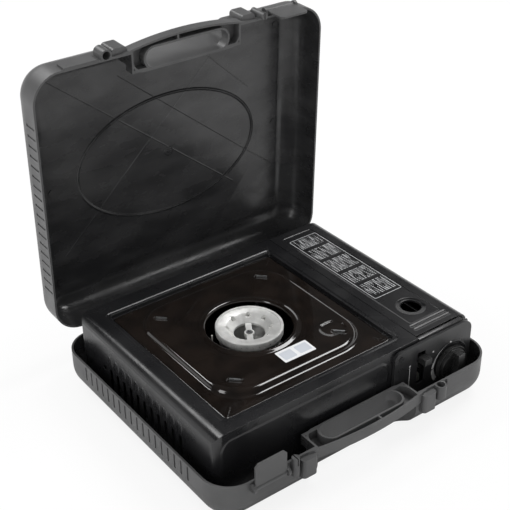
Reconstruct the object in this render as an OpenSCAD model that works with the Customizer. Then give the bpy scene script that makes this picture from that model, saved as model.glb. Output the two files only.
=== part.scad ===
// Portable gas stove for a 69 mm valve cartridge, standing in its open two-shell carry case.
// X runs to the right, Y to the back, Z up. The origin is on the table, under the middle of the case.

/* [Case shells] */
// Outer width of the case
case_w = 362; // [358:1:400]
// Outer depth of the case, without the handle and hinges
case_d = 306; // [304:1:340]
// Height of each half, from its back to its rim
half_h = 47.85; // [47.5:0.05:60]
// Gap between the two rims when the case is shut
rim_gap = 0.3; // [0.2:0.1:1]
// Wall of the moulding
case_t = 2.2; // [1.8:0.1:2.4]
// Radius of the case's corners in plan
plan_r = 32; // [29:1:40]
// Radius of the rounding round the back of each half
edge_r = 27; // [20:1:28]
// Number of grip grooves on each side wall
groove_count = 18; // [6:1:20]
// Spacing of the grip grooves
groove_pitch = 11.5; // [8:0.5:12]
// Width of a grip groove
groove_w = 2.6; // [1.5:0.1:4]
// Depth of a grip groove
groove_depth = 0.8; // [0.4:0.1:1]
// Height of a grip groove
groove_h = 17; // [10:1:18]
// Distance of the oval bead's ends from the side walls
oval_side = 62; // [50:1:90]
// Distance of the oval bead from the front and back walls
oval_end = 79; // [65:1:95]
// Width of the oval bead
oval_w = 3; // [2:0.5:5]
// Height of the beads on the panel
bead_h = 0.9; // [0.5:0.1:1]
// Radius of the small bosses round the panel
boss_r = 4; // [2:0.5:6]
// Height of those bosses
boss_h = 0.9; // [0.5:0.1:1.2]

/* [Case handle] */
// Distance of the recess in the front wall from each side of the case
notch_side = 115; // [112:0.5:122]
// Depth of that recess behind the front wall
notch_d = 22.6; // [20:0.2:26]
// Inner corner radius of the recess
notch_r = 12; // [6:1:16]
// Distance of the finger hole's ends from the ends of the recess
grip_end = 14.5; // [13:0.5:20]
// Width of the finger hole, front to back
grip_gap = 21.6; // [18:0.2:22.4]
// Height of the half bar on each shell
bar_h = 12; // [10:0.5:16]
// How far the bar bows out past the front wall
bar_bow = 8.5; // [6:0.5:14]
// How far the bow's ends run past the recess
bar_past = 14; // [10:0.5:16]
// Width of the lugs at the ends of the bar
lug_w = 18; // [14:1:24]
// Distance of a lug's middle from the end of the recess
lug_off = 14; // [10:0.5:15]
// How far the lugs stand out
lug_out = 7; // [4:0.5:9]

/* [Case hinge and latches] */
// Opening angle of the lid in the photograph
lid_open = 88; // [60:1:95]
// Distance of the hinge axis behind the back wall
hinge_off = 5.2; // [5:0.1:8]
// Radius of a hinge knuckle
knuckle_r = 4.5; // [3.5:0.1:4.6]
// Length of a hinge knuckle
knuckle_w = 20; // [12:1:30]
// Distance of each hinge from the side of the case
hinge_in = 89; // [60:1:100]
// Radius of the hinge pins
hinge_pin_r = 2; // [1.5:0.1:2.5]
// Radial clearance of pins that turn in plastic or steel
run_fit = 0.06; // [0.02:0.01:0.1]
// Width of a latch flap
latch_w = 37; // [25:1:40]
// Distance of each latch from the side of the case
latch_in = 55; // [54:1:60]
// Height of a latch flap
latch_h = 31; // [26:1:36]
// Thickness of a latch flap
latch_t = 2.2; // [1.6:0.1:3]
// Height of the latch pivot above the table
latch_z = 41; // [38:0.5:42]
// Radius of the latch pegs
latch_peg_r = 2; // [1.5:0.1:2.4]
// Distance of the locating post and its socket from the lugs
peg_off = 16.5; // [15:0.5:16.5]
// Radius of the locating post
peg_r = 4; // [3:0.1:4.2]
// Height of the locating post above the rim
peg_up = 5.5; // [3:0.5:8]
// Radial clearance of the post in its socket
peg_fit = 0.4; // [0.3:0.1:0.6]
// Free space between parts that slide or swing past each other
gap = 0.3; // [0.2:0.05:0.5]

/* [Stove body] */
// Free space between the stove and the left wall of the case
side_left = 13.2; // [9:0.2:16]
// Free space between the stove and the right wall of the case
side_right = 9.4; // [9.2:0.2:14]
// Free space behind the stove
rear_room = 16.7; // [12:0.1:24]
// Height of the stove on its feet, to the deck
stove_h = 86; // [84:0.5:87]
// Free space between the control panel and the handle's recess
front_room = 1.4; // [1:0.1:4]
// Steel thickness of the body
sheet = 0.8; // [0.6:0.1:1.2]
// Rounding of the body's long top edges
top_r = 12.5; // [8:0.5:14]
// Rounding of the body's upright corners
corner_r = 9; // [4:0.5:12]
// Width of the cartridge side, to the right of the deck
bay_side = 76.2; // [76:0.1:80]
// Height of the rubber feet
foot_h = 6; // [4:0.5:8]
// Radius of the rubber feet
foot_r = 9; // [6:0.5:12]
// Radius of the body's screws
screw_r = 1.5; // [1.2:0.1:2]
// Number of cooling slots in the left side
vent_count = 11; // [4:1:13]
// Spacing of the cooling slots
vent_pitch = 13.2; // [10:0.2:15]
// Width of a cooling slot
vent_w = 5; // [3:0.5:7]
// Height of a cooling slot
vent_h = 30; // [15:1:36]

/* [Burner and tray] */
// Deck to the left of the tray's recess
border_left = 23.9; // [20:0.1:28]
// Deck between the recess and the cartridge lid
border_right = 17.5; // [12:0.1:22]
// Free border between the tray and the deck's recess
tray_gap = 3.2; // [2:0.2:5]
// Depth of the deck's recess
recess_d = 4.5; // [3:0.5:6]
// Ledge that the tray rests on
ledge_w = 14.7; // [12:0.1:18]
// Distance of the tray's middle in front of the stove's middle
tray_fore = 3.3; // [0:0.1:4]
// Flat rim of the tray round its raised middle
tray_flange = 15.5; // [14.5:0.1:20]
// Height of the raised middle above the deck
plateau_up = 2; // [0:0.2:2.4]
// Corner radius of the raised middle
plateau_r = 38; // [25:1:50]
// Rounding of its top edge
plateau_edge = 4.5; // [2:0.5:5]
// Radius of the tray's hole for the burner
tray_hole_r = 46.3; // [42:0.1:50]
// Radius of the rolled bead round that hole
bead_r = 1.4; // [0.8:0.1:1.6]
// Radius of the burner head
burner_r = 36.4; // [32:0.2:40]
// Height of the burner head's rim above the deck
burner_up = 2.5; // [0:0.5:3]
// Depth of the funnel in the burner head
funnel_d = 9.5; // [6:0.5:11]
// Number of flame ports on top of the burner
port_count = 8; // [6:1:12]
// Radius of the air tube of the burner
mixer_r = 8.5; // [7:0.5:9]
// Height of the air tube's axis
mixer_z = 57; // [54:0.5:58]
// Distance of the pan supports' tabs from the burner, past half the width of the raised middle
support_out = 5; // [-2:0.5:8]
// Height of a pan support
support_h = 18; // [12:0.5:20]
// Steel thickness of a pan support
support_t = 1.8; // [1.2:0.1:2.5]

/* [Gas controls] */
// Outer radius of the cartridge
cartridge_r = 34.5; // [34:0.1:34.5]
// Middle of the knob from the stove's right side
knob_in = 30.8; // [27:0.2:33]
// Height of the knob's middle
knob_z = 41; // [38:0.5:44]
// Radius of the knob
knob_r = 21; // [16:0.5:23]
// Depth of the knob
knob_d = 17; // [12:0.5:20]
// Turn of the knob from off to full
knob_turn = 105; // [60:5:120]
// Radius of the valve stem
stem_r = 3; // [2.5:0.1:4]
// Thickness of the control panel
fascia_t = 3.6; // [2.5:0.1:5]
// Width of the control panel
fascia_w = 112; // [108:1:114]
// Travel of the locking lever
lever_travel = 27; // [18:1:28]
// Middle of the lever to the right of the deck's edge
lever_off = 2.4; // [2:0.2:3]
// Travel of the pusher for one of the lever
pusher_ratio = 0.3333; // [0.2:0.0001:0.4]
// Radius of the bore for the cartridge's valve
socket_r = 6; // [5:0.1:7]
// Depth of that bore
socket_len = 9; // [6:0.5:10]
// Length of the pusher's spring
spring_len = 11; // [9:0.5:12]
// Radius of the spring, to the middle of its wire
spring_r = 8; // [6:0.5:12]
// Radius of the spring's wire
wire_r = 0.7; // [0.5:0.1:0.8]
// Turns of the spring
spring_turns = 4; // [3:0.25:5]

/* [Hidden] */
$fn = 72;

// case
part_z = half_h + rim_gap/2;
front_y = -case_d/2;
hinge_y = case_d/2 + hinge_off;
hinge_x = case_w/2 - hinge_in;
latch_x = case_w/2 - latch_in;
notch_w = case_w - 2*notch_side;
grip_w = notch_w - 2*grip_end;
bar_half = notch_w/2 + bar_past;
lug_x = notch_w/2 + lug_off;
peg_x = lug_x + peg_off;
oval_a = case_w/2 - oval_side;
oval_b = case_d/2 - oval_end;
bar_r = (bar_half*bar_half + bar_bow*bar_bow)/(2*bar_bow);
pad_out = 1.9;
latch_y = front_y - gap - pad_out - latch_t;
ear_w = 3;
hook_up = 21;
socket_wall = 1.8;
post_len = 16;
post_y = front_y - peg_r + 0.6;

// stove
stove_x0 = -case_w/2 + case_t + side_left;
stove_x1 = case_w/2 - case_t - side_right;
stove_y0 = front_y + notch_d + case_t + front_room + fascia_t + gap;
stove_y1 = case_d/2 - case_t - rear_room;
stove_w = stove_x1 - stove_x0;
stove_d = stove_y1 - stove_y0;
stove_cx = (stove_x0 + stove_x1)/2;
stove_cy = (stove_y0 + stove_y1)/2;
foot_z = case_t + gap;
deck_z = foot_z + stove_h;
pan_z = foot_z + foot_h;
seam_x = stove_x1 - bay_side;
wall_x = seam_x - 3.2;

// burner and tray
recess_w = seam_x - border_right - stove_x0 - border_left;
tray_x = stove_x0 + border_left + recess_w/2;
tray_y = stove_cy - tray_fore;
tray_w = recess_w - 2*tray_gap;
bay_w = recess_w - 2*ledge_w;
plateau_w = tray_w - 2*tray_flange;
support_r = plateau_w/2 + support_out;
ledge_z = deck_z - recess_d;
tray_z = ledge_z + gap;
plateau_z = deck_z + plateau_up;
head_z = deck_z + burner_up;

// cartridge bay
bay_x0 = wall_x + sheet;
bay_x1 = stove_x1 - sheet;
cartridge_x = bay_x1 - cartridge_r - 1.2;
cartridge_z = pan_z + sheet + 3 + cartridge_r;
lid_axis_x = stove_x1 - 5.4;
lid_axis_z = part_z + 8.5;
lid_skirt_z = lid_axis_z - 4;
pan_side_z = lid_axis_z - norm([stove_x1 - lid_axis_x, lid_axis_z - lid_skirt_z]) - gap;
lid_y0 = stove_y0 + 5;
lid_y1 = stove_y1 - sheet - gap;
ear_t = 1.2;
lid_pin_r = 2;

// controls
knob_x = stove_x1 - knob_in;
lever_x = seam_x + lever_off;
fascia_x0 = stove_x1 - fascia_w;
fascia_y = stove_y0 - gap - fascia_t;
bulk_y0 = stove_y0 + sheet;
bulk_back = bulk_y0 + sheet;
flange_z = deck_z - 6;
lever_up_z = 66;
reg_y0 = bulk_back + 6;
reg_len = 19;
reg_r = 19;
inlet_y = reg_y0 + reg_len + 7;
seal_r = 4.5;
seal_len = 2.4;
cover_r = 8.5;
cover_h = 5;
stem_end_y = fascia_y - knob_d + 3;
fascia_screw_at = [[fascia_x0 + 9, 24], [fascia_x0 + 9, 76], [stove_x1 - 8, 17]];

// the gas jet and the air tube lie on one line from the regulator's arm to the burner
jet_x = wall_x + 8;
jet_y = reg_y0 + reg_len;
jet_r = 3.5;
jet_len = 12;
nozzle_len = 8;
mixer_angle = atan2(tray_y - jet_y, tray_x - jet_x);
mixer_len = norm([tray_x - jet_x, tray_y - jet_y]);
mixer_start = jet_len + nozzle_len - 2;
wall_hole_y = jet_y - 7.6*tan(mixer_angle);

// lock: the lever's slanted slot draws the link bar forward
plate_x0 = lever_x - 0.7;
plate_t = 1.4;
link_z = 44;
link_y = bulk_back + 13.8;
link_x0 = bay_x0 + gap;
link_t = 2;
link_half = 4;
slot_rise = lever_travel;
slot_run = lever_travel*pusher_ratio;
link_rear = stove_y1 - 14;
link_pin_r = 1.6;
lead_gate_y = stove_y0 + 46.9;
pusher_t = 1.5;

// screws through the base
bracket_x = 38;
tab_x = stove_x0 + 8;
tab_y = 62;
base_screw_at = [
    [tray_x - bracket_x, tray_y], [tray_x + bracket_x, tray_y],
    [tab_x, stove_cy - tab_y], [tab_x, stove_cy + tab_y]
];

plastic = [0.23, 0.23, 0.23];
enamel = [0.13, 0.10, 0.09];
black_steel = [0.16, 0.16, 0.16];
raw_steel = [0.66, 0.67, 0.68];
cast_metal = [0.80, 0.80, 0.78];
brass = [0.78, 0.62, 0.30];
rubber = [0.10, 0.10, 0.10];

// ---- outlines and solids used by several pieces ----

// Rectangle with rounded corners, on the origin
module round_rect(w, d, r) {
    square([w - 2*r, d], center = true);
    square([w, d - 2*r], center = true);
    for (x = [-1, 1], y = [-1, 1])
        translate([x*(w/2 - r), y*(d/2 - r)]) circle(r);
}

// Stadium outline, on the origin
module stadium(len, d) {
    square([len - d, d], center = true);
    for (x = [-1, 1]) translate([x*(len - d)/2, 0]) circle(d = d);
}

// Section of a dish's side from a corner's centre outwards, rounded at the bottom
module dish_section(r, edge, h) {
    square([r - edge, h]);
    translate([0, edge]) square([r, h - edge]);
    translate([r - edge, edge]) intersection() {
        circle(edge);
        translate([0, -edge]) square(edge);
    }
}

// The same section on both ends of a length
module dish_profile(len, r, edge, h) {
    translate([-(len/2 - r), 0]) square([len - 2*r, h]);
    for (s = [0, 1]) mirror([s, 0]) translate([len/2 - r, 0]) dish_section(r, edge, h);
}

// Solid block with rounded upright corners and a rounded bottom edge
module dish(w, d, h, r, edge) {
    for (x = [0, 1], y = [0, 1])
        mirror([x, 0, 0]) mirror([0, y, 0])
            translate([w/2 - r, d/2 - r, 0])
                rotate_extrude(angle = 90) dish_section(r, edge, h);
    translate([0, d/2 - r, 0]) rotate([90, 0, 0])
        linear_extrude(d - 2*r) dish_profile(w, r, edge, h);
    translate([-(w/2 - r), 0, 0]) rotate([90, 0, 90])
        linear_extrude(w - 2*r) dish_profile(d, r, edge, h);
}

// Cylinder along Y
module rod_y(r, y0, y1) {
    translate([0, y1, 0]) rotate([90, 0, 0]) cylinder(r = r, h = y1 - y0);
}

// Cylinder along X
module rod_x(r, x0, x1) {
    translate([x0, 0, 0]) rotate([0, 90, 0]) cylinder(r = r, h = x1 - x0);
}

// Ellipse as a polygon
module oval(a, b) {
    polygon([for (i = [0:79]) [a*cos(i*4.5), b*sin(i*4.5)]]);
}

// Box given by its two corners
module box(a, b) {
    translate(a) cube(b - a);
}

// ---- case ----

// Recess that the handle bridges, grown by g for the inner side of its wall
module notch(g) {
    reach = 40;
    translate([0, front_y + notch_d + g - (reach + notch_d)/2, -1])
        linear_extrude(half_h + 2) round_rect(notch_w + 2*g, reach + notch_d, notch_r + g);
}

// Plan of the handle bar, drawn in by g
module bar_plan(g) {
    intersection() {
        translate([0, front_y - bar_bow + bar_r]) circle(bar_r - g, $fn = 360);
        translate([-(notch_w/2 + case_t), front_y - bar_bow - 1])
            square([notch_w + 2*case_t, bar_bow + notch_d + 1 + case_t/2]);
    }
    // the bow's two ends lie against the front wall
    intersection() {
        translate([0, front_y - bar_bow + bar_r]) circle(bar_r - g, $fn = 360);
        translate([1 - bar_half, front_y - bar_bow - 1]) square([2*bar_half - 2, bar_bow + 1 + case_t - 2*g]);
    }
}

module finger_hole(g) {
    translate([0, front_y + notch_d - grip_gap/2]) stadium(grip_w + 2*g, grip_gap + 2*g);
}

// Half of the carrying handle: a channel round the finger hole
module handle_bar() {
    translate([0, 0, half_h - bar_h]) difference() {
        linear_extrude(bar_h) difference() {
            bar_plan(0);
            finger_hole(0);
        }
        translate([0, 0, case_t]) linear_extrude(bar_h) difference() {
            intersection() {
                bar_plan(case_t);
                translate([-notch_w/2, front_y - bar_bow]) square([notch_w, bar_bow + notch_d - case_t]);
            }
            finger_hole(case_t);
            // stiffening rib across the channel
            translate([grip_w/10, front_y - bar_bow]) square([case_t, bar_bow + case_t]);
        }
    }
}

// Ears that carry a latch flap's pegs
module latch_ears() {
    for (s = [-1, 1])
        translate([-latch_x + s*(latch_w/2 + gap + ear_w/2) - ear_w/2, 0, 0]) difference() {
            union() {
                translate([0, latch_y + latch_t/2, latch_z]) rod_x(latch_peg_r + 2.2, 0, ear_w);
                box([0, latch_y + latch_t/2, latch_z - latch_peg_r - 2.2],
                    [ear_w, front_y + case_t/2, latch_z + latch_peg_r + 2.2]);
            }
            translate([0, latch_y + latch_t/2, latch_z]) rod_x(latch_peg_r + run_fit, -1, ear_w + 1);
        }
}

// Raised pad that the other half's latch flap hooks over
module latch_pad() {
    box([latch_x - latch_w/2, front_y - pad_out, 2*part_z - latch_z - hook_up],
        [latch_x + latch_w/2, front_y + case_t/2, half_h]);
}

// Split locating post on the left and its socket on the right
module locating_post() {
    translate([-peg_x, post_y, half_h - post_len]) difference() {
        union() {
            cylinder(r = peg_r, h = post_len + peg_up);
            translate([-peg_r, 0, 0]) cube([2*peg_r, peg_r, post_len]);
        }
        translate([-0.6, -peg_r - 1, post_len - 3]) cube([1.2, 2*peg_r + 2, post_len]);
    }
}

module locating_socket() {
    r = peg_r + peg_fit + socket_wall;
    translate([peg_x, post_y, half_h - post_len]) {
        cylinder(r = r, h = post_len);
        translate([-r, 0, 0]) cube([2*r, peg_r + 0.6, post_len]);
    }
}

// Knuckles of one half: the other half's lie beside them
module knuckles() {
    for (x = [-hinge_x - knuckle_w, hinge_x - knuckle_w]) translate([x + gap/2, 0, 0]) {
        translate([0, hinge_y, part_z]) rod_x(knuckle_r, 0, knuckle_w - gap);
        box([0, case_d/2 - case_t/2, part_z - 2*knuckle_r],
            [knuckle_w - gap, hinge_y, half_h - 0.4]);
    }
}

// Bevelled blocks that meet the other half's and stop the lid
module hinge_stops() {
    a = lid_open/2 + 0.4;
    out = 7;
    for (x = [-42, 18]) translate([x, hinge_y, part_z]) rotate([90, 0, 90])
        linear_extrude(24) polygon([
            [-hinge_off - case_t/2, -0.5], [-0.5, -0.5], [out, -(out + 0.5)*tan(a)],
            [out, -(out + 0.5)*tan(a) - 3], [-hinge_off - case_t/2, -(out + 0.5)*tan(a) - 9]
        ]);
}

module bosses() {
    for (p = [
        [case_w/2 - 31, 4], [case_w/2 - 31, case_d/2 - 34], [case_w/2 - 31, 34 - case_d/2],
        [54, case_d/2 - 26]
    ], s = [-1, 1])
        translate([s*p[0], p[1], case_t/2]) cylinder(r = boss_r, h = boss_h + case_t/2);
}

// One moulding; both halves of the case are the same
module case_half() {
    t = case_t;
    difference() {
        union() {
            difference() {
                union() {
                    dish(case_w, case_d, half_h, plan_r, edge_r);
                    latch_ears();
                    latch_pad();
                    locating_post();
                    locating_socket();
                    knuckles();
                    hinge_stops();
                    for (s = [-1, 1]) translate([s*lug_x, front_y, half_h - 25])
                        linear_extrude(22) round_rect(lug_w, 2*lug_out, 4);
                }
                notch(0);
            }
        }
        difference() {
            translate([0, 0, t]) dish(case_w - 2*t, case_d - 2*t, half_h, plan_r - t, edge_r - t);
            notch(t);
        }
        translate([peg_x, post_y, half_h - post_len + case_t]) cylinder(r = peg_r + peg_fit, h = 2*post_len);
        for (x = [-hinge_x - knuckle_w - 1, hinge_x - knuckle_w - 1])
            translate([x, hinge_y, part_z]) rod_x(hinge_pin_r + run_fit, 0, knuckle_w + 2);
        for (s = [-1, 1], i = [0:groove_count - 1])
            translate([s*case_w/2, (i - (groove_count - 1)/2)*groove_pitch, half_h - 2.5 - groove_h/2])
                cube([2*groove_depth, groove_w, groove_h], center = true);
    }
    handle_bar();
    bosses();
    translate([0, 0, t/2]) linear_extrude(t/2 + bead_h) difference() {
        oval(oval_a, oval_b);
        oval(oval_a - oval_w, oval_b - oval_w);
    }
}

// One half turned over onto the other
module turned_over() {
    translate([0, 0, 2*part_z]) rotate([0, 180, 0]) children();
}

// Where the lid stands when it is open
module opened() {
    translate([0, hinge_y, part_z]) rotate([-lid_open, 0, 0]) translate([0, -hinge_y, -part_z]) children();
}

module latch_flap() {
    hook_z = latch_z + hook_up + gap;
    top = latch_h - 2.5;
    translate([-latch_x, latch_y + latch_t, latch_z]) rotate([90, 0, 0]) linear_extrude(latch_t) polygon([
        [-latch_w/2, 1], [latch_w/2, 1], [latch_w/2, top - 3.5], [latch_w/2 - 3.5, top],
        [3.5 - latch_w/2, top], [-latch_w/2, top - 3.5]
    ]);
    translate([-latch_x, latch_y + latch_t/2, latch_z])
        rod_x(latch_t/2 + 1.3, -latch_w/2, latch_w/2);
    box([-latch_x - latch_w/2 + 3, latch_y, hook_z],
        [-latch_x + latch_w/2 - 3, front_y - gap, hook_z + 2.4]);
    translate([-latch_x, latch_y + latch_t/2, latch_z])
        rod_x(latch_peg_r, -latch_w/2 - ear_w, latch_w/2 + ear_w);
}

module case_base() color(plastic) case_half();
module case_lid() color(plastic) opened() turned_over() case_half();
module latch_left() color(plastic) latch_flap();
module latch_right() color(plastic) opened() turned_over() latch_flap();

module case_hinge_pins() color(raw_steel)
    for (x = [-hinge_x, hinge_x]) translate([x, hinge_y, part_z]) {
        rod_x(hinge_pin_r, -knuckle_w, knuckle_w);
        rod_x(hinge_pin_r + 1.2, -knuckle_w - 1.2, -knuckle_w);
        rod_x(hinge_pin_r + 1.2, knuckle_w, knuckle_w + 1.2);
    }

// ---- stove body ----

// Section of the body across X and Z, g inside its outer face
module body_section(g, right) {
    x = stove_x0;
    translate([x + g, pan_z]) square([right - x - g, stove_h - foot_h - top_r]);
    translate([x + top_r, pan_z]) square([right - x - top_r, stove_h - foot_h - g]);
    translate([x + top_r, deck_z - top_r]) circle(top_r - g);
}

// The body with rounded upright corners on its left, g inside its outer face
module body_block(g, right) {
    intersection() {
        translate([0, stove_y1 - g, 0]) rotate([90, 0, 0])
            linear_extrude(stove_d - 2*g) body_section(g, right);
        translate([stove_x0 + stove_w, stove_cy, 0]) linear_extrude(2*stove_h)
            round_rect(2*stove_w - 2*g, stove_d - 2*g, corner_r - g);
    }
}

// Outline of the cartridge side across X and Z, g inside its outer face
module bay_section(x0, z0, g) {
    x = stove_x1;
    translate([x0, z0]) square([x - g - x0, deck_z - top_r - z0]);
    translate([x0, z0]) square([x - top_r - x0, deck_z - g - z0]);
    translate([x - top_r, deck_z - top_r]) circle(top_r - g);
}

module deck_opening(w, r) {
    translate([tray_x, tray_y]) round_rect(w, w, r);
}

module body_shell() color(black_steel) {
    ledge_r = 5;
    vent_z = deck_z - 36;
    vent_y = stove_cy - 2;
    difference() {
        body_block(0, seam_x);
        translate([0, 0, -0.01]) body_block(sheet, seam_x + 1);
        translate([0, 0, deck_z - 2]) linear_extrude(4) deck_opening(recess_w, ledge_r);
        for (i = [0:vent_count - 1])
            translate([stove_x0, vent_y + (i - (vent_count - 1)/2)*vent_pitch, vent_z - vent_h/2])
                rotate([0, 90, 0]) linear_extrude(4, center = true) stadium(vent_h, vent_w);
        translate([stove_x0, vent_y + (vent_count + 1)/2*vent_pitch, vent_z - vent_w])
            rod_x(vent_w/2, -2, 2);
        box([fascia_x0 + 4, stove_y0 - 1, pan_z - 1], [seam_x + 1, stove_y0 + sheet + 0.1, deck_z - 3.5]);
        box([fascia_x0 + 4, stove_y1 - sheet - 0.1, pan_z - 1], [seam_x + 1, stove_y1 + 1, deck_z - 3.5]);
    }
    difference() {
        translate([0, 0, ledge_z - sheet]) linear_extrude(recess_d + sheet) deck_opening(recess_w, ledge_r);
        translate([0, 0, ledge_z]) linear_extrude(recess_d + 1)
            deck_opening(recess_w - 2*sheet, ledge_r - sheet);
        translate([0, 0, ledge_z - 2]) linear_extrude(4) deck_opening(bay_w, 20);
    }
    // tabs for the screws through the base
    for (y = [-tab_y, tab_y]) translate([tab_x, stove_cy + y, pan_z + sheet]) difference() {
        translate([-8 + sheet/2, -7, 0]) cube([14, 14, sheet]);
        translate([0, 0, -1]) cylinder(r = screw_r + 0.05, h = 3);
    }
}

module base_pan() color(black_steel) {
    g = sheet + 0.2;
    difference() {
        union() {
            intersection() {
                translate([stove_x0 + g + stove_w, stove_cy, pan_z]) linear_extrude(sheet)
                    round_rect(2*stove_w, stove_d - 2*g, corner_r - g);
                translate([stove_cx, stove_y1 - g - stove_d, pan_z]) linear_extrude(sheet)
                    round_rect(stove_w, 2*stove_d, corner_r);
            }
            pan_side(pan_z + sheet, 0);
        }
        for (x = [-87:24:81])
            translate([tray_x + x, tray_y + tray_w/2 - 17.5, pan_z - 1]) linear_extrude(3) stadium(14, 5);
        for (p = base_screw_at) translate([p[0], p[1], pan_z - 1]) cylinder(r = screw_r + 0.05, h = 3);
    }
    // upturned right side, below the cartridge lid
    difference() {
        pan_side(pan_side_z, 0);
        pan_side(lid_skirt_z, sheet);
    }
}

// Right side of the base, rounded at the rear corner, g inside its outer face
module pan_side(top, g) {
    rear = stove_y1 - sheet - 0.2;
    intersection() {
        translate([stove_cx, rear - stove_d, pan_z - g]) linear_extrude(top - pan_z + g)
            round_rect(stove_w - 2*g, 2*stove_d - 2*g, corner_r - g);
        box([stove_x1 - corner_r, bulk_back + 0.1, pan_z - g], [stove_x1 + 1, stove_y1, top]);
    }
}

module rear_panel() color(black_steel) {
    g = sheet + gap;
    difference() {
        translate([0, stove_y1, 0]) rotate([90, 0, 0]) linear_extrude(sheet)
            difference() {
                bay_section(fascia_x0 + 4.2, pan_z + 0.1, g);
                translate([fascia_x0, deck_z - 3.5 - gap]) square([seam_x - fascia_x0, 10]);
                translate([stove_x1 - corner_r, pan_z]) square([corner_r, lid_skirt_z - pan_z]);
                for (z = [30:8:62], x = [17.4:24:65.4]) translate([stove_x1 - x, z]) stadium(16, 3.6);
            }
        translate([lid_axis_x, 0, lid_axis_z]) rod_y(lid_pin_r, stove_y1 - 3, stove_y1 + 1);
    }
}

module control_bulkhead() color(black_steel) {
    g = sheet + gap;
    w = lever_travel + 16;
    translate([0, bulk_back, 0]) rotate([90, 0, 0]) linear_extrude(sheet) difference() {
        bay_section(fascia_x0 + 1, pan_z + sheet, g);
        translate([seam_x, flange_z]) square([stove_x1 - seam_x, 20]);
        translate([knob_x, knob_z]) circle(stem_r + 1.2);
        translate([lever_x - 5, lever_up_z + 7 - w]) square([10, w]);
        translate([lid_axis_x, lid_axis_z]) circle(lid_pin_r);
        for (p = fascia_screw_at) translate(p) circle(screw_r + 0.05);
    }
}

module partition() color(raw_steel) {
    difference() {
        box([wall_x, bulk_back, pan_z + sheet], [bay_x0, stove_y1 - sheet, deck_z - sheet - 0.1]);
        // the gas jet and the spark lead pass here
        translate([wall_x - 1, wall_hole_y, mixer_z]) rod_x(jet_r + 3.5, 0, 4);
        box([wall_x - 1, lead_gate_y - 3, pan_z], [bay_x0 + 1, lead_gate_y + 3, pan_z + 6]);
    }
    // guides over and under the link bar
    clip_x1 = link_x0 + link_t + gap + sheet;
    clip_z = link_half + gap;
    for (y = [stove_cy - 55.6, stove_cy + 44.4]) translate([0, y, link_z]) {
        box([bay_x0, 0, clip_z], [clip_x1, 9, clip_z + sheet]);
        box([bay_x0, 0, -clip_z - sheet], [clip_x1, 9, -clip_z]);
        box([clip_x1 - sheet, 0, clip_z - 1.3], [clip_x1, 9, clip_z + sheet]);
    }
}

module heat_shield() color(raw_steel)
    translate([tray_x, tray_y, pan_z + sheet]) difference() {
        w = tray_w - 61;
        dish(w, w, 4, 20, 3);
        translate([0, 0, sheet]) dish(w - 2*sheet, w - 2*sheet, 4, 20 - sheet, 3 - sheet);
        for (s = [-1, 1]) translate([s*bracket_x, 0, -1]) cylinder(r = screw_r + 0.05, h = 4);
    }

module rubber_feet() color(rubber)
    for (x = [-1, 1], y = [-1, 1])
        translate([stove_cx + x*(stove_w/2 - 32), stove_cy + y*(stove_d/2 - 28), foot_z]) {
            cylinder(r1 = foot_r - 1, r2 = foot_r, h = foot_h);
        }

module base_screws() color(raw_steel)
    for (p = base_screw_at) translate([p[0], p[1], pan_z]) {
        translate([0, 0, -1.6]) cylinder(r = 2.1*screw_r, h = 1.6);
        cylinder(r = screw_r, h = 6);
    }

// ---- cartridge lid ----

lid_x0 = seam_x + 0.6;
view_x = lid_x0 + 35;
view_y = lid_y0 + 44;
view_r = 11.5;

module cartridge_lid() color(black_steel) {
    difference() {
        translate([0, lid_y1, 0]) rotate([90, 0, 0]) linear_extrude(lid_y1 - lid_y0)
            difference() {
                bay_section(lid_x0, lid_skirt_z, 0);
                bay_section(lid_x0 - 1, lid_skirt_z - 1, sheet);
            }
        translate([view_x, view_y, deck_z - 2]) cylinder(r = view_r, h = 4);
    }
    // dished rim of the view hole
    translate([view_x, view_y, deck_z]) rotate_extrude()
        polygon([[view_r, -2.4], [view_r + 0.9, -2.4], [16.2, -sheet], [16.2, -0.1], [view_r + 4, -0.1]]);
    // left edge turned down
    box([lid_x0, lid_y0, deck_z - 4], [lid_x0 + sheet, lid_y1, deck_z - 0.1]);
    // end ears on the pivot pins
    for (y = [lid_y0, lid_y1 - ear_t - 1.5]) difference() {
        translate([0, y + ear_t, 0]) rotate([90, 0, 0]) linear_extrude(ear_t) difference() {
            intersection() {
                bay_section(lid_axis_x - 12, lid_axis_z, sheet/2);
                translate([0, lid_axis_z]) square([400, 60]);
            }
            translate([lid_axis_x, lid_axis_z]) circle(lid_pin_r + run_fit);
        }
    }
    for (y = [lid_y0, lid_y1 - ear_t - 1.5])
        translate([0, y + ear_t, 0]) rotate([90, 0, 0]) linear_extrude(ear_t) difference() {
            translate([lid_axis_x, lid_axis_z]) circle(4.2);
            translate([lid_axis_x, lid_axis_z]) circle(lid_pin_r + run_fit);
        }
}

module lid_pivot_pins() color(raw_steel)
    translate([lid_axis_x, 0, lid_axis_z]) {
        rod_y(lid_pin_r, bulk_y0 + 0.1, lid_y0 + ear_t + 1);
        rod_y(lid_pin_r, lid_y1 - ear_t - 2.5, stove_y1 - 0.1);
    }

// ---- control panel ----

module fascia_outline(g) {
    x0 = fascia_x0 + g;
    x1 = stove_x1 - g;
    z0 = pan_z + 2;
    z1 = deck_z - 4 - g;
    r = 8;
    translate([x0, z0]) square([x1 - x0, z1 - z0 - top_r]);
    translate([x0 + r, z0]) square([x1 - x0 - r - top_r, z1 - z0]);
    translate([x0 + r, z1 - r]) circle(r);
    translate([x0, z0]) square([r, z1 - z0 - r]);
    translate([x1 - top_r, z1 - top_r]) circle(top_r);
}

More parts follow.
